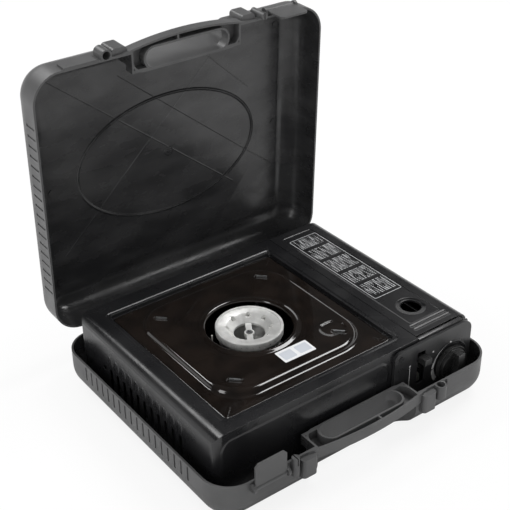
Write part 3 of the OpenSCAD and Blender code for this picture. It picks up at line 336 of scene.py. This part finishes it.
# lip pressed out round each louvre
LOUVRES, PITCH, FIRST_Y = 11, 13.2, -69.0
side = coat.maths("LESS_THAN", px, -164.8*MM)
turns = coat.maths("DIVIDE", coat.maths("SUBTRACT", py, FIRST_Y*MM), PITCH*MM)
near = coat.product(coat.maths("SUBTRACT", coat.maths("FRACT", turns), 0.5), PITCH*MM)
in_row = coat.product(coat.maths("GREATER_THAN", turns, 0.0),
                      coat.maths("LESS_THAN", turns, float(LOUVRES)))
lip = coat.plate_distance(near, pz, (0, 52.5), (2.5, 15), 2.5)
coat.relief(coat.product(coat.band(lip, 0.0, 2.2*MM, 1, 0), side, in_row), 0.8)
black = coat.done()

softened("body_shell", "stove_shell", "stove", black, 0.35, clamp=False)
refinish(black, "base_pan", "rear_panel", "control_bulkhead", "pusher_plate", "fascia_screws")


# ---- Inner sheet work ----
# Bare zinc-plated sheet and screws: the wall beside the cartridge bay, the heat shield, the
# cradle, the link bar, the lid's pivot pins, the burner's bracket and the pan supports.

refinish(zinc, "partition", "heat_shield", "cartridge_cradle", "link_bar", "lid_pivot_pins",
         "burner_bracket", "base_screws", "cover_screws", "diaphragm_cover",
         "pan_support_back", "pan_support_left", "pan_support_front", "pan_support_right")


# ---- Pusher spring ----
# Four turns of 1.4 mm spring wire between the bay's rear wall and the plate that holds the
# cartridge on its valve. It slips over the link bar's end and is held by the load.

TURNS, RISE, STEPS = 4, 9.5, 144
AXIS = Vector((132.9, 107.85, 46.8))*MM
COIL_RADIUS, WIRE_RADIUS = 8.0*MM, 0.7*MM
bm = bmesh.new()
bmesh.ops.create_circle(bm, cap_ends=False, segments=12, radius=WIRE_RADIUS,
                        matrix=Matrix.Translation(AXIS + Vector((COIL_RADIUS, 0, 0))))
bmesh.ops.spin(bm, geom=list(bm.verts) + list(bm.edges), cent=AXIS, axis=(0, 1, 0),
               dvec=(0, RISE/STEPS*MM, 0), angle=math.radians(360*TURNS), steps=STEPS,
               use_merge=False)
bmesh.ops.holes_fill(bm, edges=[e for e in bm.edges if e.is_boundary], sides=16)
bmesh.ops.recalc_face_normals(bm, faces=bm.faces)
spring = as_object(bm, "pusher_spring_wire")
spring.data.shade_smooth()
dress(spring, "pusher", zinc)
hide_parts("pusher_spring")


# ---- Cartridge lid ----
# The same coated sheet, pressed with a sunk panel and two ribs at its front, swinging on two
# pins. A frame and rows of plain dashes are screen printed on the panel in light grey.

lid_coat = Finish("printed_black_coat", (0.012, 0.012, 0.013), 0.30)
lid_coat.wear(40, 4, 0.22, 0.34)
lid_coat.relief(lid_coat.noise(1.4, 2), 0.010)
px, py, pz = lid_coat.axes()
top = lid_coat.maths("GREATER_THAN", pz, 87.0*MM)
panel = lid_coat.plate_distance(px, py, (126.8, 12), (22.6, 111), 4)
lid_coat.relief(lid_coat.product(lid_coat.band(panel, -1.8*MM, 0.0, 0, 1), top), 0.9)
for y in (-102.5, -109.0):
    rib = lid_coat.plate_distance(px, py, (127, y), (26, 1.7), 1.6)
    lid_coat.relief(lid_coat.product(lid_coat.band(rib, -1.2*MM, 1.2*MM, 1, 0), top), -0.8)
# the print: a frame, and dashes in rows 2.7 mm apart, in blocks 31 mm apart
PRINT, ROW, BLOCK = (127.5, 36), 2.7, 31
frame_line = lid_coat.plate_distance(px, py, PRINT, (19.5, 76), 2)
line = lid_coat.band(lid_coat.maths("ABSOLUTE", frame_line), 0.15*MM, 0.6*MM, 1, 0)
rows = lid_coat.maths("FRACT", lid_coat.maths("DIVIDE", py, ROW*MM))
row = lid_coat.product(lid_coat.band(rows, 0.18, 0.30), lid_coat.band(rows, 0.62, 0.74, 1, 0))
dashes = lid_coat.band(lid_coat.noise(1.7, 1, (1, 0.12, 1)), 0.47, 0.52)
inner = lid_coat.plate_distance(px, py, PRINT, (16.8, 73.4), 0.5)
blocks = lid_coat.maths("DIVIDE", lid_coat.maths("ADD", py, 40*MM), BLOCK*MM)
block = lid_coat.band(lid_coat.maths("FRACT", blocks), 0.16, 0.20)
printed = lid_coat.product(row, dashes, lid_coat.maths("LESS_THAN", inner, 0.0), block)
ink = lid_coat.product(lid_coat.maths("MAXIMUM", line, printed), top)
lid_coat.tone(ink, (0.013, 0.013, 0.014), (0.62, 0.63, 0.64))
# dished rim of the view hole
HOLE, HOLE_RADIUS = (128.8, -73.9), 16.6
hole = lid_coat.plate_distance(px, py, HOLE, (HOLE_RADIUS, HOLE_RADIUS), HOLE_RADIUS)
lid_coat.relief(lid_coat.product(lid_coat.band(hole, -4.6*MM, 0.4*MM, 0, 1), top), 3.4)
printed_black = lid_coat.done()

softened("cartridge_lid", "cartridge_cover", "bay_cover", printed_black, 0.35,
         clamp=False)


# ---- Control panel ----
# A deep-drawn black panel screwed over the bulkhead. A grey wedge round the knob marks the
# flame, and a line with two dots marks the lever's travel.

panel_coat = Finish("control_panel_coat", (0.020, 0.020, 0.021), 0.34)
panel_coat.wear(30, 4, 0.26, 0.38)
panel_coat.relief(panel_coat.noise(1.2, 2), 0.010)
px, py, pz = panel_coat.axes()
face = panel_coat.maths("LESS_THAN", py, -126.2*MM)
# the wedge round the knob widens from nothing at the top to 5 mm at the lower left, and has
# a gap near its middle
KNOB_X, KNOB_Z, WEDGE_RADIUS, WEDGE_FOOT, WEDGE_TIP = 138.6, 41.0, 24.5, -0.65, 1.40
dx = panel_coat.maths("SUBTRACT", px, KNOB_X*MM)
dz = panel_coat.maths("SUBTRACT", pz, KNOB_Z*MM)
ring = panel_coat.length(dx, dz)
turn = panel_coat.maths("ARCTAN2", dz, panel_coat.maths("MULTIPLY", dx, -1.0))
width = panel_coat.band(turn, WEDGE_FOOT, 1.35, 2.6*MM, 0.3*MM, smooth=False)
off = panel_coat.maths("ABSOLUTE", panel_coat.maths("SUBTRACT", ring, WEDGE_RADIUS*MM))
gap = panel_coat.maths("ABSOLUTE", panel_coat.maths("SUBTRACT", turn, 0.02))
marks = panel_coat.product(
    panel_coat.maths("LESS_THAN", off, width), panel_coat.maths("GREATER_THAN", turn, WEDGE_FOOT),
    panel_coat.maths("LESS_THAN", turn, WEDGE_TIP), panel_coat.maths("GREATER_THAN", gap, 0.03))
for x, z, r in ((138.6, 66.6, 1.1), (79.5, 61.0, 1.2), (79.5, 26.0, 1.2), (113.0, 65.0, 1.2)):
    spot = panel_coat.plate_distance(px, pz, (x, z), (r, r), r)
    marks = panel_coat.maths("MAXIMUM", marks, panel_coat.maths("LESS_THAN", spot, 0.0))
travel = panel_coat.plate_distance(px, pz, (79.5, 43.5), (0.45, 15.5), 0.4)
marks = panel_coat.maths("MAXIMUM", marks, panel_coat.maths("LESS_THAN", travel, 0.0))
panel_coat.tone(panel_coat.product(marks, face), (0.020, 0.020, 0.021), (0.55, 0.55, 0.55))
panel_black = panel_coat.done()

softened("control_fascia", "control_panel", "stove", panel_black, 1.2, 50)


# ---- Knob, lever and valve ----
# Phenolic knob and lever tab with a light sheen from handling; the stem and the gas jet are
# turned brass, and the regulator is a blasted zinc die casting.

handled = Finish("phenolic_black", (0.018, 0.018, 0.018), 0.32)
handled.mottle(9, 4, (0.015, 0.015, 0.015), (0.024, 0.024, 0.024), 0.4, 0.6)
handled.wear(14, 4, 0.24, 0.40)
handled.relief(handled.noise(0.6, 2), 0.006)
phenolic = handled.done()
softened("knob", "flame_knob", "valve", phenolic, 0.7)
softened("lock_lever", "lock_lever_tab", "lever", phenolic, 0.5)

turned = Finish("turned_brass", (0.62, 0.45, 0.20), 0.28, 1.0)
turned.mottle(5, 3, (0.55, 0.39, 0.16), (0.68, 0.50, 0.24))
turned.wear(0.5, 2, 0.20, 0.36, (1, 8, 1))
turned.relief(turned.noise(0.35, 2, (1, 10, 1)), 0.006)
brass = turned.done()
refinish(brass, "valve_stem", "gas_jet")

cast = Finish("blasted_casting", (0.62, 0.62, 0.61), 0.5, 1.0)
cast.mottle(8, 4, (0.52, 0.52, 0.51), (0.68, 0.68, 0.67))
cast.wear(6, 4, 0.42, 0.60)
cast.relief(cast.noise(0.7, 3), 0.03)
casting = cast.done()
refinish(casting, "regulator_body", "burner_body")


# ---- Spark ignition and rubber ----
# A piezo unit in glass-filled plastic, a silicone lead and a glazed ceramic electrode. The
# feet and the seal are moulded rubber.

sleeve = Finish("silicone_and_rubber", (0.028, 0.028, 0.028), 0.72)
sleeve.mottle(4, 3, (0.022, 0.022, 0.022), (0.036, 0.036, 0.036))
sleeve.wear(2, 3, 0.62, 0.82)
sleeve.relief(sleeve.noise(0.5, 2), 0.02)
rubber = sleeve.done()
refinish(rubber, "rubber_feet", "inlet_seal")

# the lead lies along the floor of the body and rises beside the burner
route = (
    (114.9, -96.3, 17.5), (114.9, -90, 17.5), (112.9, -84, 15.5), (107, -78, 12.4),
    (100, -76, 11.4), (92, -76, 11.2), (80, -76, 11.2), (60, -78, 11.2), (30, -80, 11.2),
    (0, -82, 11.2), (-30, -84, 11.2), (-60, -84, 11.2), (-84, -80, 11.2), (-102, -70, 11.2),
    (-114, -55, 11.2), (-118, -35, 11.4), (-116, -12, 13.5), (-109, 4, 18), (-99, 12, 24),
    (-90, 15, 31), (-82, 16, 38), (-76, 16.3, 43), (-73.5, 16.3, 46.5), (-71.5, 16.3, 49.5),
    (-71.5, 16.3, 52))
LEAD_RADIUS = 1.25
line = bpy.data.curves.new("spark_lead", "CURVE")
line.dimensions = "3D"
line.resolution_u = 6
line.bevel_depth = LEAD_RADIUS*MM
line.bevel_resolution = 3
line.use_fill_caps = True
strand = line.splines.new("NURBS")
strand.points.add(len(route) - 1)
for point, (x, y, z) in zip(strand.points, route):
    point.co = (x*MM, y*MM, z*MM, 1)
strand.order_u = 4
strand.use_endpoint_u = True
lead = bpy.data.objects.new("spark_lead", line)
bpy.context.scene.collection.objects.link(lead)
dress(lead, "stove", rubber)
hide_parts("igniter_lead")

glaze = Finish("glazed_ceramic", (0.80, 0.79, 0.74), 0.12)
glaze.mottle(3, 2, (0.76, 0.74, 0.69), (0.83, 0.82, 0.78))
glaze.relief(glaze.noise(1.5, 2), 0.01)
ceramic = glaze.done()
refinish(ceramic, "electrode", "piezo_igniter")


# ---- Burner head ----
# A turned aluminium casting, blasted pale, with ports round its top and slots in its rim. A
# bridge across the middle takes the screw that holds it on the burner's body.

blasted = Finish("blasted_aluminium", (0.86, 0.86, 0.84), 0.46, 0.55)
blasted.mottle(7, 5, (0.80, 0.80, 0.78), (0.90, 0.90, 0.88))
blasted.wear(5, 4, 0.38, 0.55)
blasted.relief(blasted.noise(0.8, 3), 0.03)
aluminium = blasted.done()
softened("burner_head", "burner_crown", "stove", aluminium, 0.35)
refinish(zinc, "burner_screw")


# ---- Drip tray ----
# Steel sheet pressed with a raised middle and a rolled collar round the burner, then dipped in
# glossy dark brown vitreous enamel, which pools thinner on the edges.

enamelled = Finish("dark_brown_enamel", (0.010, 0.007, 0.006), 0.10)
enamelled.shader.inputs["Coat Weight"].default_value = 0.6
enamelled.shader.inputs["Coat Roughness"].default_value = 0.05
enamelled.mottle(24, 5, (0.008, 0.006, 0.005), (0.014, 0.010, 0.008))
enamelled.wear(11, 4, 0.07, 0.15)
enamelled.relief(enamelled.noise(26, 2), 0.16)
enamelled.relief(enamelled.noise(7, 2), 0.030)
enamelled.relief(enamelled.noise(1.6, 2), 0.003)
px, py, pz = enamelled.axes()
tx = enamelled.maths("SUBTRACT", px, TRAY_X*MM)
ty = enamelled.maths("SUBTRACT", py, TRAY_Y*MM)
# pressed pockets round the four tabs, and creases where the rim's corners were drawn in
DIAGONAL, TAB, CREASE_START, CREASE_END = 0.7071, 67.2, 92, 104
scaled = enamelled.product(tx, DIAGONAL), enamelled.product(ty, DIAGONAL)
along = enamelled.maths("SUBTRACT", *scaled)
cross = enamelled.maths("ADD", *scaled)
for sx, sy in ((1, 1), (-1, 1), (-1, -1), (1, -1)):
    middle = (TAB*(sx - sy)*DIAGONAL, TAB*(sx + sy)*DIAGONAL)
    slot = enamelled.plate_distance(along, cross, middle, (7.6, 2.6), 2.4)
    enamelled.relief(enamelled.band(slot, 0.0, 1.4*MM, 1, 0), -0.9)
    ends = [(reach*sx, reach*sy) for reach in (CREASE_START, CREASE_END)]
    enamelled.relief(enamelled.near_line(tx, ty, *ends, 2.2), 0.6)
pocket = enamelled.plate_distance(tx, ty, (66, -58), (15, 12), 11.5)
enamelled.relief(enamelled.band(pocket, -3.0*MM, 1.0*MM, 1, 0), -1.6)
enamel = enamelled.done()


def square_outline(bm, half, radius, z):
    """Closed outline of a rounded square round the tray's middle."""
    old = set(bm.edges)
    made = bmesh.ops.create_grid(bm, x_segments=1, y_segments=1, size=half*MM)
    bmesh.ops.translate(bm, verts=made["verts"], vec=(TRAY_X*MM, TRAY_Y*MM, z*MM))
    bmesh.ops.bevel(bm, geom=made["verts"], offset=radius*MM, offset_type="OFFSET",
                    affect="VERTICES", segments=16, profile=0.5, material=-1)
    outline = [e for e in bm.edges if e not in old]
    faces = list({f for e in outline for f in e.link_faces})
    bmesh.ops.delete(bm, geom=faces, context="FACES_ONLY")
    return outline


def round_outline(bm, radius, z):
    """The same for a circle, with as many points as the rounded square."""
    place = Matrix.Translation((TRAY_X*MM, TRAY_Y*MM, z*MM))
    made = bmesh.ops.create_circle(bm, segments=68, radius=radius*MM,
                                   matrix=place @ Matrix.Rotation(math.radians(45), 4, "Z"))
    return list({e for v in made["verts"] for e in v.link_edges})


# half width, corner radius and height of the outlines from the rim inwards, then radius and
# height round the burner; neighbours differ in height, so that the bridges can't twist
SQUARES = (
    (105.5, 5.0, 84.6), (104.9, 4.7, 85.05), (104.2, 4.5, 85.1), (95.6, 40.4, 85.13),
    (94.2, 40.0, 85.18), (93.0, 39.6, 85.4), (91.9, 39.2, 85.95), (91.2, 38.8, 86.9),
    (90.6, 38.5, 88.0), (89.7, 38.1, 89.2), (88.5, 37.4, 90.0), (87.0, 36.4, 90.4),
    (85.6, 35.6, 90.5), (84.4, 35.0, 90.53), (73.0, 52.0, 90.5), (64.0, 62.0, 90.47))
ROUNDS = (
    (61.0, 90.44), (59.8, 90.4), (57.0, 90.1), (54.6, 90.0), (52.8, 90.5), (51.4, 91.3),
    (49.9, 91.75), (48.4, 91.5), (47.3, 90.7), (46.7, 89.4), (46.5, 88.0))
SHEET = 0.8
bm = bmesh.new()
rings = [square_outline(bm, *row) for row in SQUARES]
rings += [round_outline(bm, *row) for row in ROUNDS]
for outer, inner in zip(rings, rings[1:]):
    bmesh.ops.bridge_loops(bm, edges=outer + inner)
bmesh.ops.recalc_face_normals(bm, faces=bm.faces)
if sum(f.normal.z*f.calc_area() for f in bm.faces) < 0:
    bmesh.ops.reverse_faces(bm, faces=bm.faces)
tray = as_object(bm, "drip_tray_pressing")
tray.data.shade_smooth()
tray.data.set_sharp_from_angle(angle=math.radians(40))
sheet = tray.modifiers.new("sheet", "SOLIDIFY")
sheet.thickness = SHEET*MM
sheet.offset = -1
dress(tray, "tray", enamel)
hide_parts("drip_tray")


# ---- Sticker ----
# A plain white paper label stuck on the front of the tray's raised middle, with two pale
# printed blocks and nothing written.

LABEL, LABEL_SIZE = Vector((-23.3, -63.9, 90.59)), Vector((39.5, 19.6, 0.12))
paper = Finish("plain_sticker", (0.82, 0.83, 0.84), 0.5)
px, py, pz = paper.axes()
blocks = [paper.plate_distance(px, py, (x, -63.8), (7.6, 6.6), 1.5) for x in (-33.0, -13.6)]
on_block = paper.maths("LESS_THAN", paper.maths("MINIMUM", *blocks), 0.0)
paper.tone(on_block, (0.84, 0.85, 0.86), (0.60, 0.63, 0.68))
paper.relief(paper.noise(2.5, 3), 0.01)
sticker_paper = paper.done()
bm = bmesh.new()
made = bmesh.ops.create_cube(bm, size=1)
bmesh.ops.scale(bm, verts=made["verts"], vec=LABEL_SIZE*MM)
bmesh.ops.rotate(bm, verts=made["verts"], cent=(0, 0, 0),
                 matrix=Matrix.Rotation(math.radians(-0.8), 3, "Z"))
bmesh.ops.translate(bm, verts=made["verts"], vec=LABEL*MM)
upright = [e for e in bm.edges if abs(e.verts[0].co.z - e.verts[1].co.z) > 0.05*MM]
bmesh.ops.bevel(bm, geom=upright, offset=1.2*MM, offset_type="OFFSET", affect="EDGES",
                segments=5, profile=0.5, material=-1)
sticker = as_object(bm, "tray_sticker")
dress(sticker, "tray", sticker_paper)


# ---- Studio ----
# A pale floor and an even white surround, with three soft boxes, and a camera where the
# photograph was taken from.

def bare_material(name):
    made = bpy.data.materials.new(name)
    made.use_nodes = True
    made.node_tree.nodes.clear()
    return made, made.node_tree


def ray_level(tree, ray, extra, level):
    """A number that is level, and level plus extra for rays of one kind."""
    seen = tree.nodes.new("ShaderNodeLightPath")
    made = tree.nodes.new("ShaderNodeMath")
    made.operation = "MULTIPLY_ADD"
    made.inputs[1].default_value = extra
    tree.links.new(seen.outputs[ray], made.inputs[0])
    if isinstance(level, float):
        made.inputs[2].default_value = level
    else:
        tree.links.new(level, made.inputs[2])
    return made.outputs[0]


bm = bmesh.new()
bmesh.ops.create_grid(bm, x_segments=1, y_segments=1, size=4.0)
floor = as_object(bm, "studio_floor")
floor.data.transform(Matrix.Translation((0, 0, -0.2*MM)))
ground, tree = bare_material("studio_floor")
matt = tree.nodes.new("ShaderNodeBsdfDiffuse")
matt.inputs["Color"].default_value = (0.86, 0.86, 0.86, 1)
glow = tree.nodes.new("ShaderNodeEmission")
glow.inputs["Color"].default_value = (1, 1, 1, 1)
mix = tree.nodes.new("ShaderNodeMixShader")
out = tree.nodes.new("ShaderNodeOutputMaterial")
tree.links.new(ray_level(tree, "Is Camera Ray", 0.86, 0.0), mix.inputs[0])
tree.links.new(matt.outputs[0], mix.inputs[1])
tree.links.new(glow.outputs[0], mix.inputs[2])
tree.links.new(mix.outputs[0], out.inputs[0])
floor.data.materials.append(ground)

# the surround is white to the camera, grey as a light, and near black in glossy faces
world = bpy.data.worlds.new("white_surround")
bpy.context.scene.world = world
world.use_nodes = True
tree = world.node_tree
sky = tree.nodes["Background"]
sky.inputs["Color"].default_value = (1, 1, 1, 1)
level = ray_level(tree, "Is Glossy Ray", -0.50, 0.56)
level = ray_level(tree, "Is Camera Ray", 0.44, level)
tree.links.new(level, sky.inputs["Strength"])


def soft_box(name, place, aim, size, power):
    lamp = bpy.data.lights.new(name, "AREA")
    lamp.shape = "RECTANGLE"
    lamp.size, lamp.size_y = size
    lamp.energy = power
    holder = bpy.data.objects.new(name, lamp)
    bpy.context.scene.collection.objects.link(holder)
    holder.location = place
    turn = (Vector(aim) - Vector(place)).to_track_quat("-Z", "Y")
    holder.rotation_euler = turn.to_euler()


soft_box("box_right", (1.15, 0.10, 1.75), (0, 0.05, 0.10), (1.0, 0.8), 22)
soft_box("box_back", (-0.45, 1.50, 1.75), (-0.05, 0.05, 0.10), (1.3, 0.6), 20)
soft_box("box_left", (-1.9, -0.2, 1.0), (0, 0.05, 0.12), (0.5, 1.2), 8)

# a low white wall all round, which glossy faces show
WALL_RADIUS, WALL_HEIGHT = 2.6, 0.85  # metres
bm = bmesh.new()
bmesh.ops.create_circle(bm, cap_ends=False, segments=96, radius=WALL_RADIUS)
raised = bmesh.ops.extrude_edge_only(bm, edges=list(bm.edges))["geom"]
bmesh.ops.translate(bm, verts=[v for v in raised if isinstance(v, bmesh.types.BMVert)],
                    vec=(0, 0, WALL_HEIGHT))
wall = as_object(bm, "studio_wall")
pale, tree = bare_material("studio_wall")
glow = tree.nodes.new("ShaderNodeEmission")
glow.inputs["Color"].default_value = (1, 1, 1, 1)
tree.links.new(ray_level(tree, "Is Diffuse Ray", -0.40, 0.90), glow.inputs["Strength"])
out = tree.nodes.new("ShaderNodeOutputMaterial")
tree.links.new(glow.outputs[0], out.inputs[0])
wall.data.materials.append(pale)

# the camera that was fitted to the photograph, with its distances in metres
AZIMUTH, ELEVATION, ROLL = math.radians(-36.37), math.radians(31.46), math.radians(-0.80)
TARGET, DISTANCE = Vector((0.04502, 0.09629, 0.10263)), 1.25437
FOCAL_PIXELS, PHOTO_PIXELS, SENSOR = 1093.24, 510, 36
back = Vector((math.sin(AZIMUTH)*math.cos(ELEVATION), -math.cos(AZIMUTH)*math.cos(ELEVATION),
               math.sin(ELEVATION)))
right = (-back).cross(Vector((0, 0, 1))).normalized()
up = right.cross(-back)
c, s = math.cos(ROLL), math.sin(ROLL)
turned_right, turned_up = c*right + s*up, -s*right + c*up
lens = bpy.data.cameras.new("photo_camera")
lens.sensor_fit = "HORIZONTAL"
lens.sensor_width = SENSOR
lens.lens = SENSOR*FOCAL_PIXELS/PHOTO_PIXELS
lens.clip_start = 0.05
camera = bpy.data.objects.new("photo_camera", lens)
bpy.context.scene.collection.objects.link(camera)
camera.matrix_world = Matrix((
    (turned_right.x, turned_up.x, back.x, 0), (turned_right.y, turned_up.y, back.y, 0),
    (turned_right.z, turned_up.z, back.z, 0), (0, 0, 0, 1)))
camera.location = TARGET + back*DISTANCE
bpy.context.scene.camera = camera
bpy.context.scene.view_settings.view_transform = "Standard"
